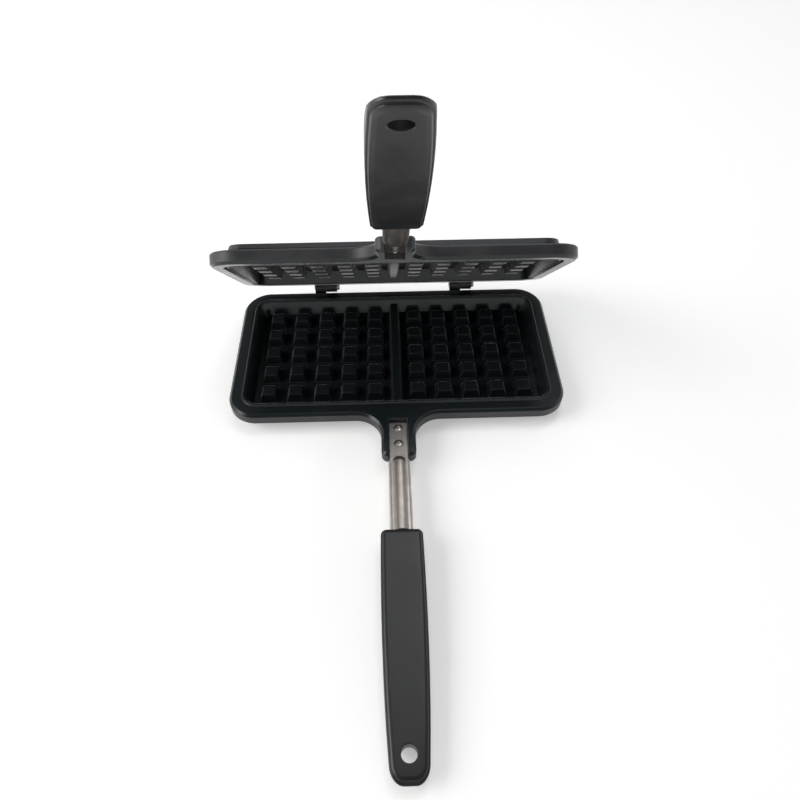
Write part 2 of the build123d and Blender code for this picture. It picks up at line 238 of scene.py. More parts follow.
class Effects:
    """Shader node groups that more than one finish uses, each built once.

    A noise is written as its scale, detail and roughness, a range as its two ends.
    """

    BEVEL_SAMPLES = 6
    EDGE_COSINES = (0.998, 0.86)
    CONTRAST = (0.3, 0.7)
    FINE_GRAIN = (4.0, 0.6)
    BROAD_GRAIN = (2.0,)
    HAIR = (5200.0, 3.0, 0.65)
    HAIR_STRETCH = (1.0, 0.012, 1.0)
    WIDE_STREAKS = (420.0, 2.0, 0.5)
    WIDE_STRETCH = (1.0, 0.06, 1.0)
    HAIR_SHARE = 0.4
    # Patches that break up the edge wear and the painted edge highlight.
    WEAR_AND_HIGHLIGHT_PATCHES = (260.0, 4.0, 0.6)
    WEAR_AND_HIGHLIGHT_CONTRAST = (0.38, 0.68)

    def __init__(self) -> None:
        """Builds every group."""
        self.soft_edges = self._soft_edges()
        self.cast_grain = self._cast_grain()
        self.drawn_streaks = self._drawn_streaks()
        self.edge_wear_and_highlight = self._edge_wear_and_highlight()

    def _group(
        self, name: str, takes: dict[str, str], gives: dict[str, str]
    ) -> tuple[Graph, bpy.types.Node, bpy.types.Node]:
        """Starts a node group.

        Args:
            name: The group's name.
            takes: Kinds of its inputs, by name.
            gives: Kinds of its outputs, by name.

        Returns:
            Its graph, input node and output node.
        """
        tree = bpy.data.node_groups.new(name, "ShaderNodeTree")
        for direction, sockets in (("INPUT", takes), ("OUTPUT", gives)):
            for label, kind in sockets.items():
                tree.interface.new_socket(label, in_out=direction, socket_type=f"NodeSocket{kind}")
        graph = Graph(tree)
        return graph, graph.add("NodeGroupInput"), graph.add("NodeGroupOutput")

    def _soft_edges(self) -> bpy.types.NodeTree:
        """Rounds sharp edges in the shading, and masks them.

        Returns:
            The group: Radius in, Normal and Edge out.
        """
        graph, takes, gives = self._group(
            "soft_edges", {"Radius": "Float"}, {"Normal": "Vector", "Edge": "Float"}
        )
        bevel = graph.add("ShaderNodeBevel", samples=self.BEVEL_SAMPLES)
        graph.feed(takes.outputs["Radius"], bevel.inputs["Radius"])
        facing = graph.add("ShaderNodeNewGeometry")
        agree = graph.vector("DOT_PRODUCT", bevel.outputs[0], facing.outputs["Normal"])
        graph.feed(bevel.outputs[0], gives.inputs["Normal"])
        edge = graph.span(agree.outputs["Value"], self.EDGE_COSINES)
        graph.feed(edge, gives.inputs["Edge"])
        return graph.tree

    def _cast_grain(self) -> bpy.types.NodeTree:
        """Fine unevenness of a coated casting or a moulding.

        Returns:
            The group: Vector, Fine and Broad scales in, Height and Patches out.
        """
        graph, takes, gives = self._group(
            "cast_grain",
            {"Vector": "Vector", "Fine": "Float", "Broad": "Float"},
            {"Height": "Float", "Patches": "Float"},
        )
        where = takes.outputs["Vector"]
        fine = graph.noise(where, takes.outputs["Fine"], *self.FINE_GRAIN)
        broad = graph.noise(where, takes.outputs["Broad"], *self.BROAD_GRAIN)
        graph.feed(fine, gives.inputs["Height"])
        graph.feed(graph.span(broad, self.CONTRAST), gives.inputs["Patches"])
        return graph.tree

    def _drawn_streaks(self) -> bpy.types.NodeTree:
        """Streaks of rolled or drawn metal, along the Y of its coordinates.

        Returns:
            The group: Vector in, Height and Streaks out.
        """
        graph, takes, gives = self._group(
            "drawn_streaks", {"Vector": "Vector"}, {"Height": "Float", "Streaks": "Float"}
        )
        where = takes.outputs["Vector"]
        long_way = graph.vector("MULTIPLY", where, self.HAIR_STRETCH).outputs[0]
        hair = graph.noise(long_way, *self.HAIR)
        wide_way = graph.vector("MULTIPLY", where, self.WIDE_STRETCH).outputs[0]
        wide = graph.noise(wide_way, *self.WIDE_STREAKS)
        graph.feed(hair, gives.inputs["Height"])
        mixed = graph.blend(
            self.HAIR_SHARE, graph.span(wide, self.CONTRAST), graph.span(hair, self.CONTRAST)
        )
        graph.feed(mixed, gives.inputs["Streaks"])
        return graph.tree

    def _edge_wear_and_highlight(self) -> bpy.types.NodeTree:
        """Where handling wears edges bright, with a painted highlight along them, broken up so that
        it isn't a line.

        Returns:
            The group: Vector and Edge in, Mask out.
        """
        graph, takes, gives = self._group(
            "edge_wear_and_highlight", {"Vector": "Vector", "Edge": "Float"}, {"Mask": "Float"}
        )
        # Edge mask broken into patches: partly wear, partly a painted highlight along the edges.
        patches = graph.noise(takes.outputs["Vector"], *self.WEAR_AND_HIGHLIGHT_PATCHES)
        patchy = graph.span(patches, self.WEAR_AND_HIGHLIGHT_CONTRAST)
        graph.feed(graph.math("MULTIPLY", takes.outputs["Edge"], patchy), gives.inputs["Mask"])
        return graph.tree


class Finish:
    """One material: its graph, its surface shader and the coordinates that it is patterned by."""

    def __init__(self, name: str, place: Matrix | None = None) -> None:
        """Starts a material.

        Args:
            name: The material's name.
            place: The half's own axes, where a pattern follows them.
        """
        self.material = bpy.data.materials.new(name)
        self.material.use_nodes = True
        self.graph = Graph(self.material.node_tree)
        self.material.node_tree.nodes.clear()
        self.surface = self.graph.add("ShaderNodeBsdfPrincipled")
        output = self.graph.add("ShaderNodeOutputMaterial")
        self.graph.feed(self.surface.outputs[0], output.inputs["Surface"])
        coordinates = self.graph.add("ShaderNodeTexCoord")
        self.where = coordinates.outputs["Object"]
        self.out_of_face = coordinates.outputs["Normal"]
        if place is not None:
            self.where = self._settled(self.where, place.to_translation(), place)
            self.out_of_face = self._settled(self.out_of_face, Vector(), place)

    def _settled(self, vector: Socket, origin: Vector, place: Matrix) -> Socket:
        """Turns a vector into a half's own axes.

        Args:
            vector: The vector.
            origin: What is taken off it first.
            place: The half's own axes.

        Returns:
            The turned vector.
        """
        mapping = self.graph.add("ShaderNodeMapping", vector_type="TEXTURE")
        mapping.inputs["Location"].default_value = origin
        mapping.inputs["Rotation"].default_value = place.to_euler("XYZ")
        self.graph.feed(vector, mapping.inputs["Vector"])
        return mapping.outputs[0]

    def group(self, tree: bpy.types.NodeTree, **inputs: object) -> bpy.types.Node:
        """Places a shared group with its own values.

        Args:
            tree: The group's tree.
            **inputs: Sockets or values for its inputs, by name.

        Returns:
            The group's node.
        """
        node = self.graph.add("ShaderNodeGroup", node_tree=tree)
        for name, value in inputs.items():
            self.graph.feed(value, node.inputs[name])
        return node

    def set(self, **values: object) -> None:
        """Sets or feeds inputs of the surface shader, with _ for each space in a name."""
        for name, value in values.items():
            self.graph.feed(value, self.surface.inputs[name.replace("_", " ")])

    def bump(self, height: Socket, distance: float, normal: Socket) -> None:
        """Feeds the surface's normal from a height.

        Args:
            height: The height, from 0 to 1.
            distance: The height of 1, in metres.
            normal: The normal that it is added to.
        """
        node = self.graph.add("ShaderNodeBump")
        node.inputs["Distance"].default_value = distance
        self.graph.feed(height, node.inputs["Height"])
        self.graph.feed(normal, node.inputs["Normal"])
        self.set(Normal=node.outputs[0])


@dataclass(frozen=True)
class CoatedCasting:
    """Cast aluminium: satin non-stick over the cooking side, grey stoving paint outside; its edges
    are painted lighter, partly wear and partly a painted highlight.

    A roughness is the one between the patches and the one in them. The ranges of the mask of
    the outside are distances in from the rim, heights over the base, and the normal's share
    out of the face.
    """

    non_stick: Colour = (0.0085, 0.0125, 0.0145, 1.0)
    # Lighter non-stick along the edges: partly wear, partly a painted highlight.
    non_stick_worn_and_highlit: Colour = (0.024, 0.030, 0.033, 1.0)
    paint: Colour = (0.043, 0.044, 0.047, 1.0)
    paint_light: Colour = (0.056, 0.057, 0.060, 1.0)
    # Bright colour of the outside's edges: partly paint worn through, partly a painted highlight.
    edge_wear_and_highlight: Colour = (0.19, 0.185, 0.175, 1.0)
    worn_and_highlit_share: float = 0.8
    edge_wear_and_highlight_share: float = 0.6
    metallic_paint: float = 0.35
    inside_roughness: Pair = (0.19, 0.26)
    outside_roughness: Pair = (0.40, 0.50)
    ior: float = 1.45
    sheen: float = 0.7
    sheen_roughness: float = 0.20
    fine_grain: float = 1900.0
    broad_patches: float = 55.0
    grain_height: float = 0.000035
    edge_radius: float = 0.0007
    half_width: float = 0.0993
    half_depth: float = 0.0542
    corner_radius: float = 0.017
    rim_edge: Pair = (-0.0022, -0.0012)
    base_edge: Pair = (0.0030, 0.0018)
    steepness: Pair = (0.75, 0.45)

    def make(self, name: str, effects: Effects, place: Matrix) -> bpy.types.Material:
        """Builds the material.

        Args:
            name: The material's name.
            effects: The shared groups.
            place: The half's own axes.

        Returns:
            The material.
        """
        finish = Finish(name, place)
        graph = finish.graph
        edges = finish.group(effects.soft_edges, Radius=self.edge_radius)
        edge = edges.outputs["Edge"]
        grain = finish.group(
            effects.cast_grain,
            Vector=finish.where,
            Fine=self.fine_grain,
            Broad=self.broad_patches,
        )
        patches = grain.outputs["Patches"]
        outside = self._outside(finish)
        edge_wear_and_highlight = finish.group(effects.edge_wear_and_highlight, Vector=finish.where, Edge=edge).outputs["Mask"]
        # Lightens the non-stick along the edges: partly wear, partly a painted highlight.
        worn_and_highlit = graph.math("MULTIPLY", edge, self.worn_and_highlit_share)
        inner = graph.mix(worn_and_highlit, self.non_stick, self.non_stick_worn_and_highlit)
        outer = graph.mix(patches, self.paint, self.paint_light)
        # Lightens the paint along the edges in patches: partly wear, partly a painted highlight.
        outer = graph.mix(graph.math("MULTIPLY", edge_wear_and_highlight, self.edge_wear_and_highlight_share), outer, self.edge_wear_and_highlight)
        finish.set(
            Base_Color=graph.mix(outside, inner, outer),
            Metallic=graph.math("MULTIPLY", outside, self.metallic_paint),
            Roughness=graph.blend(
                outside,
                graph.blend(patches, *self.inside_roughness),
                graph.blend(patches, *self.outside_roughness),
            ),
            IOR=self.ior,
            Sheen_Weight=self.sheen,
            Sheen_Roughness=self.sheen_roughness,
        )
        finish.bump(grain.outputs["Height"], self.grain_height, edges.outputs["Normal"])
        return finish.material

    def _outside(self, finish: Finish) -> Socket:
        """Masks the painted outside: the walls, the neck's flanks and the base.

        Args:
            finish: The material that the mask is built in.

        Returns:
            The mask, 1 outside.
        """
        graph = finish.graph
        split = graph.add("ShaderNodeSeparateXYZ")
        graph.feed(finish.where, split.inputs[0])
        squares = []
        for reach, socket in zip((self.half_width, self.half_depth), split.outputs):
            distance = graph.math("ABSOLUTE", socket)
            past = graph.math("SUBTRACT", distance, reach - self.corner_radius)
            squares.append(graph.math("POWER", graph.math("MAXIMUM", past, 0.0), 2.0))
        corner = graph.math("SQRT", graph.math("ADD", *squares))
        from_rim = graph.math("SUBTRACT", corner, self.corner_radius)
        beyond = graph.span(from_rim, self.rim_edge)
        low = graph.span(split.outputs[2], self.base_edge)
        lies = graph.add("ShaderNodeSeparateXYZ")
        graph.feed(finish.out_of_face, lies.inputs[0])
        steep = graph.span(lies.outputs[2], self.steepness)
        return graph.math("MAXIMUM", graph.math("MULTIPLY", beyond, steep), low, clamp=True)


@dataclass(frozen=True)
class StemSteel:
    """Pressed stainless strip with streaks along its length."""

    bright: Colour = (0.62, 0.575, 0.535, 1.0)
    dull: Colour = (0.35, 0.318, 0.295, 1.0)
    roughness: Pair = (0.42, 0.30)
    stain_size: float = 150.0
    stain_contrast: Pair = (0.35, 0.7)
    stain_share: float = 0.35
    streak_height: float = 0.000012
    edge_radius: float = 0.0004

    def make(self, name: str, effects: Effects, place: Matrix) -> bpy.types.Material:
        """Builds the material.

        Args:
            name: The material's name.
            effects: The shared groups.
            place: The half's own axes.

        Returns:
            The material.
        """
        finish = Finish(name, place)
        graph = finish.graph
        edges = finish.group(effects.soft_edges, Radius=self.edge_radius)
        streaks = finish.group(effects.drawn_streaks, Vector=finish.where)
        stains = graph.span(graph.noise(finish.where, self.stain_size), self.stain_contrast)
        shade = graph.blend(self.stain_share, streaks.outputs["Streaks"], stains)
        finish.set(
            Base_Color=graph.mix(shade, self.dull, self.bright),
            Metallic=1.0,
            Roughness=graph.blend(shade, *self.roughness),
        )
        finish.bump(streaks.outputs["Height"], self.streak_height, edges.outputs["Normal"])
        return finish.material


@dataclass(frozen=True)
class TurnedMetal:
    """Small turned or headed metal pieces: rivets, screws and hinge pins."""

    bright: Colour = (0.62, 0.60, 0.57, 1.0)
    dull: Colour = (0.36, 0.345, 0.33, 1.0)
    smooth: float = 0.24
    rough: float = 0.38
    fine_grain: float = 6000.0
    broad_patches: float = 700.0
    grain_height: float = 0.000010
    edge_radius: float = 0.0002

    def make(self, name: str, effects: Effects) -> bpy.types.Material:
        """Builds the material.

        Args:
            name: The material's name.
            effects: The shared groups.

        Returns:
            The material.
        """
        finish = Finish(name)
        graph = finish.graph
        edges = finish.group(effects.soft_edges, Radius=self.edge_radius)
        grain = finish.group(
            effects.cast_grain,
            Vector=finish.where,
            Fine=self.fine_grain,
            Broad=self.broad_patches,
        )
        finish.set(
            Base_Color=graph.mix(grain.outputs["Patches"], self.dull, self.bright),
            Metallic=1.0,
            Roughness=graph.blend(grain.outputs["Patches"], self.rough, self.smooth),
        )
        finish.bump(grain.outputs["Height"], self.grain_height, edges.outputs["Normal"])
        return finish.material


@dataclass(frozen=True)
class MouldedGrip:
    """Charcoal phenolic moulding: satin, faintly mottled, a little lighter along the edges, partly
    where hands wear it and partly as a painted sheen.
    """

    dark: Colour = (0.0120, 0.0125, 0.0137, 1.0)
    light: Colour = (0.0170, 0.0175, 0.0188, 1.0)
    # Lighter colour of the grip's edges: partly wear, partly a painted sheen.
    edge_wear_and_highlight: Colour = (0.055, 0.052, 0.048, 1.0)
    edge_wear_and_highlight_share: float = 0.5
    roughness: Pair = (0.31, 0.38)
    ior: float = 1.5
    fine_grain: float = 2600.0
    broad_patches: float = 70.0
    grain_height: float = 0.000030
    edge_radius: float = 0.0003

    def make(self, name: str, effects: Effects) -> bpy.types.Material:
        """Builds the material.

        Args:
            name: The material's name.
            effects: The shared groups.

        Returns:
            The material.
        """
        finish = Finish(name)
        graph = finish.graph
        edges = finish.group(effects.soft_edges, Radius=self.edge_radius)
        grain = finish.group(
            effects.cast_grain,
            Vector=finish.where,
            Fine=self.fine_grain,
            Broad=self.broad_patches,
        )
        edge_wear_and_highlight = finish.group(effects.edge_wear_and_highlight, Vector=finish.where, Edge=edges.outputs["Edge"])
        body = graph.mix(grain.outputs["Patches"], self.dark, self.light)
        # Lightens the grip's edges in patches: partly wear, partly a painted sheen.
        worn_and_sheen_share = graph.math("MULTIPLY", edge_wear_and_highlight.outputs["Mask"], self.edge_wear_and_highlight_share)
        finish.set(
            Base_Color=graph.mix(worn_and_sheen_share, body, self.edge_wear_and_highlight),
            Roughness=graph.blend(grain.outputs["Patches"], *self.roughness),
            IOR=self.ior,
        )
        finish.bump(grain.outputs["Height"], self.grain_height, edges.outputs["Normal"])
        return finish.material


class Bench:
    """Shapes one mesh in edit mode, as a modeller does by hand."""

    HOLE_SIDES = 48
    WELD = 0.000004
    FLAT_FACE_WEIGHT = 100

    def __init__(self, primitive: Callable[..., object], **settings: object) -> None:
        """Starts a piece from a primitive and leaves it in edit mode.

        Args:
            primitive: The operator that adds the primitive.
            **settings: The operator's settings.
        """
        bpy.ops.object.select_all(action="DESELECT")
        primitive(**settings)
        self.piece = bpy.context.object
        bpy.ops.object.transform_apply(location=True, rotation=True, scale=True)
        bpy.ops.object.mode_set(mode="EDIT")

    def points(self, selected: bool = False) -> list[Vector]:
        """Places of the mesh's vertices, of all or of the selected ones."""
        vertices = bmesh.from_edit_mesh(self.piece.data).verts
        return [vertex.co.copy() for vertex in vertices if vertex.select or not selected]

    def pick(self, kind: str, test: Callable[..., bool]) -> None:
        """Selects what passes a test.

        Args:
            kind: VERT, EDGE or FACE.
            test: Takes a vertex's place, an edge's two ends, or a face's centre and normal.
        """
        bpy.ops.mesh.select_mode(type=kind)
        bpy.ops.mesh.select_all(action="DESELECT")
        cage = bmesh.from_edit_mesh(self.piece.data)
        cage.normal_update()
        if kind == "VERT":
            chosen = [item for item in cage.verts if test(item.co)]
        elif kind == "EDGE":
            chosen = [item for item in cage.edges if test(item.verts[0].co, item.verts[1].co)]
        else:
            chosen = [item for item in cage.faces if test(item.calc_center_median(), item.normal)]
        for item in chosen:
            item.select_set(True)
        bmesh.update_edit_mesh(self.piece.data)

    def cut(self, x: float | None = None, y: float | None = None) -> None:
        """Cuts the selected faces along a plane across X or Y."""
        if y is None:
            bpy.ops.mesh.bisect(plane_co=(x, 0, 0), plane_no=(1, 0, 0))
        else:
            bpy.ops.mesh.bisect(plane_co=(0, y, 0), plane_no=(0, 1, 0))

    def bevel(self, offset: float, segments: int) -> None:
        """Rounds the selected edges."""
        bpy.ops.mesh.bevel(offset=offset, segments=segments, affect="EDGES", clamp_overlap=False)

    def drill(self, at: Point, radius: float, depth: float) -> None:
        """Drills a round hole along Z.

        Args:
            at: The middle of the hole.
            radius: Its radius.
            depth: Its length.
        """
        bpy.ops.object.mode_set(mode="OBJECT")
        bpy.ops.object.select_all(action="DESELECT")
        bpy.ops.mesh.primitive_cylinder_add(
            vertices=self.HOLE_SIDES, radius=radius, depth=depth, location=at
        )
        self.subtract(bpy.context.object)

    def subtract(self, tool: bpy.types.Object) -> None:
        """Cuts another piece's form out of this one, and removes it."""
        bpy.ops.object.select_all(action="DESELECT")
        bpy.context.view_layer.objects.active = self.piece
        self.piece.select_set(True)
        cutter = self.piece.modifiers.new("cut", "BOOLEAN")
        cutter.operation = "DIFFERENCE"
        cutter.solver = "EXACT"
        cutter.object = tool
        bpy.ops.object.modifier_apply(modifier=cutter.name)
        bpy.data.objects.remove(tool)
        bpy.ops.object.mode_set(mode="EDIT")

    def finish(self, name: str, smooth_below: float) -> bpy.types.Object:
        """Cleans the mesh and leaves edit mode.

        The vertices are sorted first, so that each run welds the same ones.

        Args:
            name: The piece's name.
            smooth_below: Edges flatter than this angle are shaded smooth.

        Returns:
            The finished piece.
        """
        bpy.ops.mesh.select_all(action="SELECT")
        bpy.ops.mesh.sort_elements(type="CURSOR_DISTANCE", elements={"VERT"})
        bpy.ops.mesh.remove_doubles(threshold=self.WELD)
        bpy.ops.mesh.normals_make_consistent(inside=False)
        bpy.ops.object.mode_set(mode="OBJECT")
        bpy.ops.object.shade_smooth_by_angle(angle=smooth_below)
        weighted = self.piece.modifiers.new("weighted", "WEIGHTED_NORMAL")
        weighted.keep_sharp = True
        weighted.weight = self.FLAT_FACE_WEIGHT
        bpy.ops.object.modifier_apply(modifier=weighted.name)
        self.piece.name = name
        self.piece.data.name = name
        log.info("%s: %d faces", name, len(self.piece.data.polygons))
        return self.piece


@dataclass(frozen=True)
class GripMoulding:
    """Moulded grip: a shell with a crowned back, and a face panel that rolls down to a ledge.

    Its own axes have their origin at the root of the face, X across, Y back towards the plate,
    and Z out of the face. A station is a distance from the root, then the half width, the depth
    in the middle and the depth at the edge there. Columns are shares of the half width.
    """

    place: Place = field(default_factory=Place)
    root_y: float = -0.1283
    root_level: float = 0.0104
    tilt: float = math.radians(3.7)
    length: float = 0.1132
    panel_rise: float = 0.0012
    upright_share: float = 0.15
    rim_round: float = 0.0006
    ledge: float = 0.0003
    tip_ledge_extra: float = 0.0006
    tip_margin: float = 0.001
    panel_margin: float = 0.0015
    roll: float = 0.0021
    roll_steps: int = 6
    root_corner: float = 0.0030
    tip_corner: float = 0.0073
    corner_steps: int = 8
    edge_steps: int = 3
    crown_power: float = 4.5
    hole_radius: float = 0.0035
    hole_from_tip: float = 0.0116
    hole_edge: float = 0.0004
    hole_level: float = -0.006
    hole_depth: float = 0.016
    seat_from_root: float = 0.0210
    seat_depth: float = 0.00814
    seat_radius: float = 0.0040
    seat_cutter: float = 0.008
    smooth_below: float = math.radians(32)
    columns: tuple[float, ...] = (
        -0.97, -0.9, -0.78, -0.6, -0.35, 0.0, 0.35, 0.6, 0.78, 0.9, 0.97
    )
    stations: tuple[tuple[float, float, float, float], ...] = (
        (0.0, 0.01070, 0.01000, 0.0076),
        (0.0060, 0.01079, 0.01032, 0.0079),
        (0.0200, 0.01093, 0.01088, 0.0084),
        (0.0380, 0.01095, 0.01122, 0.0087),
        (0.0550, 0.01077, 0.01114, 0.0086),
        (0.0700, 0.01042, 0.01074, 0.0082),
        (0.0822, 0.00998, 0.01020, 0.0076),
        (0.0920, 0.00951, 0.00945, 0.0066),
        (0.0980, 0.00916, 0.00850, 0.0054),
        (0.1045, 0.00874, 0.00628, 0.0036),
        (0.1080, 0.00848, 0.00485, 0.0028),
        (0.1110, 0.00826, 0.00345, 0.0024),
        (0.1132, 0.00810, 0.00230, 0.0023),
    )

    def matrix(self, half: Half) -> Matrix:
        """Places the grip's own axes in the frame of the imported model."""
        root = Matrix.Translation((0, self.root_y, self.root_level))
        return self.place.matrix(half) @ root @ Matrix.Rotation(self.tilt, 4, "X")

    def at(self, along: float) -> Point:
        """Half width, depth in the middle and depth at the edge, at a distance from the root."""
        along = min(max(along, 0.0), self.length)
        for before, after in zip(self.stations, self.stations[1:]):
            if along <= after[0]:
                share = (along - before[0]) / (after[0] - before[0])
                return tuple(a + (b - a) * share for a, b in zip(before[1:], after[1:]))
        return self.stations[-1][1:]

    def build(self, half: Half, material: bpy.types.Material) -> bpy.types.Object:
        """Models the grip of a half in its place.

        Args:
            half: The half that it belongs to.
            material: Its finish.

        Returns:
            The grip.
        """
        bench = self._blank()
        self._taper(bench)
        self._crown(bench)
        self._panel(bench)
        self._holes(bench)
        grip = bench.finish(f"{half.value}_grip_moulding", self.smooth_below)
        grip.data.transform(self.matrix(half))
        grip.data.materials.append(material)
        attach(grip, half.body)
        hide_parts(f"{half.value}_grip")
        return grip

    def _blank(self) -> Bench:
        """Starts from a block with rounded corners in plan."""
        height = self.stations[0][2] - self.panel_rise
        bench = Bench(
            bpy.ops.mesh.primitive_cube_add,
            size=1,
            location=(0, -self.length / 2, -self.panel_rise - height / 2),
            scale=(2 * self.stations[0][1], self.length, height),
        )
        for along, radius in ((0.0, self.root_corner), (self.length, self.tip_corner)):
            bench.pick(
                "EDGE",
                lambda a, b: abs(a.x - b.x) < SAME_POINT
                and all(abs(end.y + along) < ON_PLANE for end in (a, b)),
            )
            bench.bevel(radius, self.corner_steps)
        for along in (station[0] for station in self.stations[1:-1]):
            if along < self.length - self.hole_from_tip - 2 * self.hole_radius:
                bpy.ops.mesh.select_all(action="SELECT")
            else:
                bench.pick("FACE", lambda centre, normal: normal.z < -LEVEL)
            bench.cut(y=-along)
        for share in self.columns:
            bench.pick("FACE", lambda centre, normal: normal.z < -LEVEL)
            bench.cut(x=share * self.stations[0][1])
        return bench

    def _taper(self, bench: Bench) -> None:
        """Draws each row of the block to the width there."""
        for row in sorted({round(point.y, 6) for point in bench.points()}):
            bench.pick("VERT", lambda at: abs(at.y - row) < SAME_ROW)
            share = self.at(-row)[0] / self.stations[0][1]
            bpy.ops.transform.resize(value=(share, 1, 1), center_override=(0, 0, 0))

    def _crown(self, bench: Bench) -> None:
        """Bows the back: deep along the middle, rounded to a thin edge at the sides and the tip."""
        floor = -self.stations[0][2]
        under = [point for point in bench.points() if abs(point.z - floor) < ON_PLANE]
        for row in sorted({round(point.y, 6) for point in under}):
            line = [point for point in under if abs(point.y - row) < SAME_ROW]
            reach = max(abs(point.x) for point in line)
            _, middle, edge = self.at(-row)
            for point in line:
                fall = (abs(point.x) / reach) ** self.crown_power if reach > 0 else 1.0
                depth = middle - (middle - edge) * fall
                bench.pick("VERT", lambda at: (at - point).length < SAME_POINT)
                bpy.ops.transform.translate(value=(0, 0, -depth - floor))

    def _panel(self, bench: Bench) -> None:
        """Rounds the shell's rim, leaves a ledge, and raises the face panel with a rolled edge."""
        top = -self.panel_rise
        bench.pick("FACE", lambda centre, normal: normal.z > LEVEL)
        bpy.ops.mesh.region_to_loop()
        bench.bevel(self.rim_round, self.edge_steps)
        bench.pick(
            "FACE", lambda centre, normal: normal.z > LEVEL and abs(centre.z - top) < ON_PLANE
        )
        bpy.ops.mesh.inset(thickness=self.ledge, use_even_offset=True)
        self._push_tip(bench)
        upright = self.upright_share * self.panel_rise
        bpy.ops.mesh.extrude_region_move(TRANSFORM_OT_translate={"value": (0, 0, upright)})
        rolled = self.panel_rise - upright
        for step in range(self.roll_steps):
            before = math.pi / 2 * step / self.roll_steps
            after = math.pi / 2 * (step + 1) / self.roll_steps
            inwards = self.roll * (math.cos(before) - math.cos(after))
            upwards = rolled * (math.sin(after) - math.sin(before))
            bpy.ops.mesh.inset(thickness=inwards, depth=0.0, use_even_offset=True)
            bpy.ops.transform.translate(value=(0, 0, upwards))

    def _push_tip(self, bench: Bench) -> None:
        """Widens the ledge round the tip by drawing the panel's end back, and selects the panel."""
        start = self.length - self.tip_corner - self.tip_margin
        reach = self.length - self.rim_round - self.ledge
        ends = [point for point in bench.points(selected=True) if -point.y > start]
        bench.pick("VERT", lambda at: any((at - point).length < SAME_POINT for point in ends))
        share = (reach - start - self.tip_ledge_extra) / (reach - start)
        bpy.ops.transform.resize(value=(1, share, 1), center_override=(0, -start, 0))
        bench.pick(
            "FACE",
            lambda centre, normal: normal.z > LEVEL
            and abs(centre.z + self.panel_rise) < ON_PLANE
            and abs(centre.x) < NEAR_MIDDLE
            and self.panel_margin < -centre.y < reach - self.panel_margin,
        )

    def _holes(self, bench: Bench) -> None:
        """Drills the hanging hole and the sunk seat of the screw, and eases the hole's edge."""
        across = self.hole_from_tip - self.length
        bench.drill((0, across, self.hole_level), self.hole_radius, self.hole_depth)
        seat = (0, -self.seat_from_root, -self.seat_depth - self.seat_cutter / 2)
        bench.drill(seat, self.seat_radius, self.seat_cutter)

        def on_hole(end: Vector) -> bool:
            """Whether a place lies on the hole's edge in the face."""
            radius = math.hypot(end.x, end.y - across)
            return abs(radius - self.hole_radius) < ON_PLANE and end.z > -ON_PLANE

        bench.pick("EDGE", lambda a, b: on_hole(a) and on_hole(b))
        bench.bevel(self.hole_edge, self.edge_steps)


@dataclass(frozen=True)
class GripScrew:
    """Pan-head screw with a cross recess, sunk in the back of a grip."""

    place: Place = field(default_factory=Place)
    seat: Point = (0.0, -0.14873, 0.00092)
    tilt: float = math.radians(3.7)
    shank_radius: float = 0.0020
    shank_length: float = 0.0063
    head_radius: float = 0.0036
    head_height: float = 0.0020
    head_sides: int = 40
    head_round: float = 0.0009
    round_steps: int = 4
    smooth_below: float = math.radians(35)
    slot_width: float = 0.0010
    slot_reach: float = 0.0042
    slot_depth: float = 0.0011

    def build(self, half: Half, material: bpy.types.Material) -> bpy.types.Object:
        """Models the screw of a half in its place.

        Args:
            half: The half that it belongs to.
            material: Its finish.

        Returns:
            The screw.
        """
        bench = Bench(
            bpy.ops.mesh.primitive_cylinder_add,
            vertices=self.head_sides,
            radius=self.head_radius,
            depth=self.head_height,
            location=(0, 0, -self.head_height / 2),
        )
        bench.pick("FACE", lambda centre, normal: normal.z < -LEVEL)
        bpy.ops.mesh.region_to_loop()
        bench.bevel(self.head_round, self.round_steps)
        bench.pick("FACE", lambda centre, normal: normal.z > LEVEL)
        bpy.ops.mesh.inset(thickness=self.head_radius - self.shank_radius)
        shank = (0, 0, self.shank_length)
        bpy.ops.mesh.extrude_region_move(TRANSFORM_OT_translate={"value": shank})
        for width, reach in (
            (self.slot_reach, self.slot_width),
            (self.slot_width, self.slot_reach),
        ):
            size = (width, reach, 2 * self.slot_depth)
            bpy.ops.object.mode_set(mode="OBJECT")
            bpy.ops.object.select_all(action="DESELECT")
            bpy.ops.mesh.primitive_cube_add(size=1, location=(0, 0, -self.head_height), scale=size)
            bpy.ops.object.transform_apply(location=True, rotation=True, scale=True)
            bench.subtract(bpy.context.object)
        screw = bench.finish(f"{half.value}_grip_screw_head", self.smooth_below)
        lean = Matrix.Translation(self.seat) @ Matrix.Rotation(self.tilt, 4, "X")
        screw.data.transform(self.place.matrix(half) @ lean)
        screw.data.materials.append(material)
        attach(screw, half.body)
        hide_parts(f"{half.value}_grip_screw")
        return screw


@dataclass
class MouldHalf:
    """One half of the mould: plate, stem, rivets, grip and grip screw."""

    half: Half
    effects: Effects
    metals: dict[str, bpy.types.Material]
    place: Place = field(default_factory=Place)

    def dress(self) -> None:
        """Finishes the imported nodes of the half, and models its grip and the grip's screw."""
        prefix = self.half.value
        matrix = self.place.matrix(self.half)
        casting = CoatedCasting().make(f"{prefix}_coated_casting", self.effects, matrix)
        steel = StemSteel().make(f"{prefix}_stem_steel", self.effects, matrix)
        paint(f"{prefix}_plate", casting)
        paint(f"{prefix}_stem", steel)
        paint(f"{prefix}_rivets", self.metals["rivet"])
        GripMoulding().build(self.half, self.metals["grip"])
        GripScrew().build(self.half, self.metals["screw"])


def paint(node: str, material: bpy.types.Material) -> None:
    """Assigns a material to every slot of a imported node.

    Args:
        node: The node's name.
        material: Its finish.
    """
    for slot in frame["nodes"][node].material_slots:
        slot.material = material
    log.info("%s: finished as %s", node, material.name)


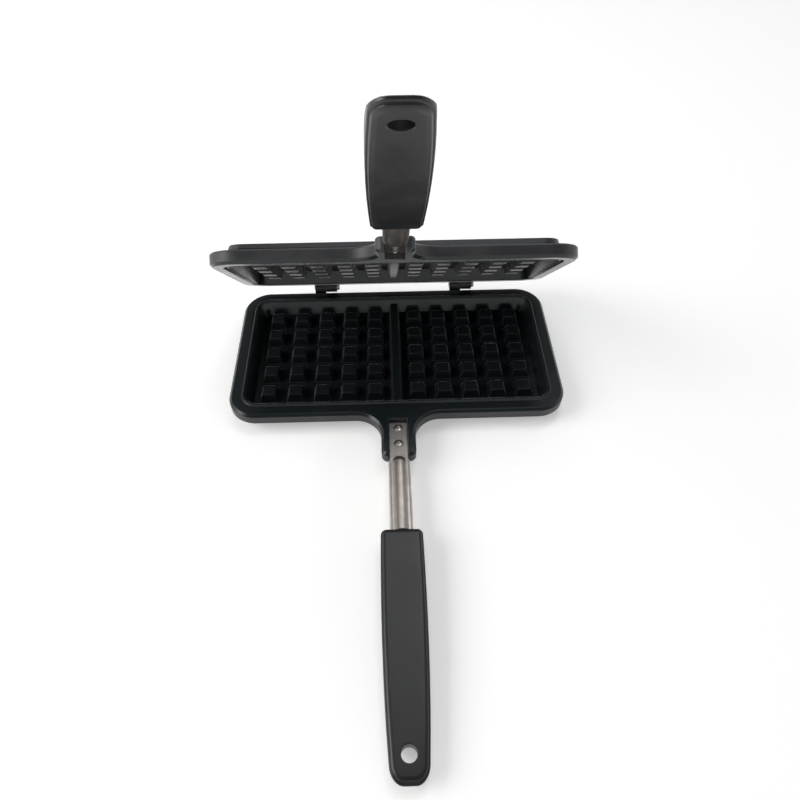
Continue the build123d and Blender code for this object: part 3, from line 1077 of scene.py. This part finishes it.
@dataclass(frozen=True)
class Lamp:
    """A soft rectangular lamp that points at the middle of the mould, in metres and watts."""

    name: str
    at: Point
    size: Pair
    power: float
    colour: Point
    target: Point = (0, -0.05, 0.05)

    def place(self) -> None:
        """Adds the lamp to the scene."""
        data = bpy.data.lights.new(self.name, "AREA")
        data.shape = "RECTANGLE"
        data.size, data.size_y = self.size
        data.energy = self.power
        data.color = self.colour
        lamp = bpy.data.objects.new(self.name, data)
        lamp.location = self.at
        ahead = Vector(self.target) - Vector(self.at)
        lamp.rotation_euler = ahead.to_track_quat("-Z", "Y").to_euler()
        bpy.context.scene.collection.objects.link(lamp)
        log.info("%s: lamp of %.0f W", self.name, self.power)


@dataclass(frozen=True)
class Studio:
    """White table in a white room, a window to the left and a soft lamp overhead.

    The table glows a little to the eye, more so far off, where the photograph has no horizon.
    Its patches are a noise's scale and detail. The room's ranges are heights and depths of the
    direction that is looked in.
    """

    floor_size: float = 14.0
    floor_colour: Colour = (0.93, 0.93, 0.93, 1.0)
    floor_patch: Colour = (0.92, 0.92, 0.92, 1.0)
    floor_patches: Pair = (3.0, 2.0)
    floor_grain: float = 900.0
    grain_height: float = 0.00003
    floor_roughness: float = 0.85
    floor_specular: float = 0.1
    base_foot: float = 0.0462
    clearance: float = 0.0002
    table_glow: float = 0.34
    far_glow: float = 0.30
    glow_grows: Pair = (0.5, 3.0)
    white: Colour = (1.0, 1.0, 1.0, 1.0)
    wall_light: float = 1.0
    ceiling_light: float = 0.20
    front_share: float = 0.42
    wall_to_ceiling: Pair = (0.05, 0.75)
    front_to_side: Pair = (-0.75, 0.0)
    horizon_band: Pair = (0.32, 0.22)
    lamps: tuple[Lamp, ...] = (
        Lamp("window", (-1.25, -0.25, 0.85), (1.0, 0.8), 13.0, (1.0, 0.99, 0.97)),
        Lamp("ceiling", (0.15, 0.45, 1.45), (0.8, 0.8), 6.0, (0.97, 0.985, 1.0)),
    )

    def build(self) -> None:
        """Builds the floor, the surroundings and the lamps."""
        self._floor()
        self._surroundings()
        for lamp in self.lamps:
            lamp.place()

    def _floor(self) -> None:
        """Makes the table, which touches the grip's heel and the far edge of the base."""
        vertices = frame["nodes"]["lower_grip"].data.vertices
        slope = math.atan(max(-v.co.z / (self.base_foot - v.co.y) for v in vertices))
        bpy.ops.object.select_all(action="DESELECT")
        bpy.ops.mesh.primitive_plane_add(size=self.floor_size)
        floor = bpy.context.object
        floor.name = "table_top"
        foot = Matrix.Translation((0, self.base_foot, -self.clearance))
        floor.data.transform(foot @ Matrix.Rotation(slope, 4, "X"))
        floor.data.materials.append(self._table_white())
        log.info("table_top: stage")

    def _table_white(self) -> bpy.types.Material:
        """Makes the table's finish: matt white, with a glow that is seen but lights nothing.

        Returns:
            The material.
        """
        material = bpy.data.materials.new("table_white")
        material.use_nodes = True
        graph = Graph(material.node_tree)
        surface = material.node_tree.nodes["Principled BSDF"].inputs
        where = graph.add("ShaderNodeTexCoord").outputs["Object"]
        shade = graph.noise(where, *self.floor_patches)
        graph.feed(graph.mix(shade, self.floor_patch, self.floor_colour), surface["Base Color"])
        surface["Roughness"].default_value = self.floor_roughness
        surface["Specular IOR Level"].default_value = self.floor_specular
        path = graph.add("ShaderNodeLightPath").outputs
        seen = graph.math("MAXIMUM", path["Is Camera Ray"], path["Is Glossy Ray"])
        seen = graph.math("MAXIMUM", seen, path["Is Transmission Ray"])
        distance = graph.vector("LENGTH", where).outputs["Value"]
        levels = (self.table_glow, self.table_glow + self.far_glow)
        glow = graph.span(distance, self.glow_grows, levels)
        surface["Emission Color"].default_value = self.white
        graph.feed(graph.math("MULTIPLY", seen, glow), surface["Emission Strength"])
        bump = graph.add("ShaderNodeBump")
        bump.inputs["Distance"].default_value = self.grain_height
        graph.feed(graph.noise(where, self.floor_grain), bump.inputs["Height"])
        graph.feed(bump.outputs[0], surface["Normal"])
        return material

    def _surroundings(self) -> None:
        """Makes the room: white walls, dimmer behind the camera and overhead, white far off."""
        world = bpy.data.worlds.new("white_room")
        bpy.context.scene.world = world
        world.use_nodes = True
        graph = Graph(world.node_tree)
        world.node_tree.nodes.clear()
        background = graph.add("ShaderNodeBackground")
        background.inputs["Color"].default_value = self.white
        split = graph.add("ShaderNodeSeparateXYZ")
        graph.feed(graph.add("ShaderNodeTexCoord").outputs["Generated"], split.inputs[0])
        height = split.outputs[2]
        room = graph.span(height, self.wall_to_ceiling, (self.wall_light, self.ceiling_light))
        front = graph.span(split.outputs[1], self.front_to_side, (self.front_share, 1.0))
        dimmed = graph.math("MULTIPLY", room, front)
        light = graph.blend(graph.span(height, self.horizon_band), dimmed, self.wall_light)
        graph.feed(light, background.inputs["Strength"])
        output = graph.add("ShaderNodeOutputWorld")
        graph.feed(background.outputs[0], output.inputs["Surface"])


@dataclass(frozen=True)
class Viewpoint:
    """The camera of the photograph, solved from the lattice of pegs and both handles."""

    at: Point = (-0.004724, -0.293994, 0.305216)
    pitch: float = math.radians(49.648)
    yaw: float = math.radians(-1.45)
    roll: float = math.radians(-0.303)
    focal_length: float = 29.557
    sensor: float = 36.0
    nearest: float = 0.01

    def place(self) -> None:
        """Makes the scene's camera."""
        turn = Matrix.Rotation(self.yaw, 3, "Z")
        forward = turn @ Vector((0, math.cos(self.pitch), -math.sin(self.pitch)))
        right = turn @ Vector((1, 0, 0))
        up = turn @ Vector((0, math.sin(self.pitch), math.cos(self.pitch)))
        level_right = math.cos(self.roll) * right + math.sin(self.roll) * up
        level_up = math.cos(self.roll) * up - math.sin(self.roll) * right
        data = bpy.data.cameras.new("photographer")
        data.lens = self.focal_length
        data.sensor_width = self.sensor
        data.clip_start = self.nearest
        camera = bpy.data.objects.new("photographer", data)
        axes = Matrix((level_right, level_up, -forward)).transposed()
        camera.matrix_world = Matrix.Translation(self.at) @ axes.to_4x4()
        bpy.context.scene.collection.objects.link(camera)
        bpy.context.scene.camera = camera


def main() -> None:
    """Builds the studio and dresses the mould."""
    logging.basicConfig(level=logging.INFO, format="%(name)s: %(message)s")
    Viewpoint().place()
    Studio().build()
    effects = Effects()
    metals = {
        "rivet": TurnedMetal().make("rivet_metal", effects),
        "screw": TurnedMetal(smooth=0.22, rough=0.34).make("screw_zinc", effects),
        "pin": TurnedMetal(smooth=0.26, rough=0.36).make("pin_steel", effects),
        "grip": MouldedGrip().make("moulded_grip_charcoal", effects),
    }
    for half in Half:
        MouldHalf(half, effects, metals).dress()
    paint("hinge_pins", metals["pin"])
    bpy.context.scene.view_settings.view_transform = "Standard"


if __name__ == "__main__":
    main()
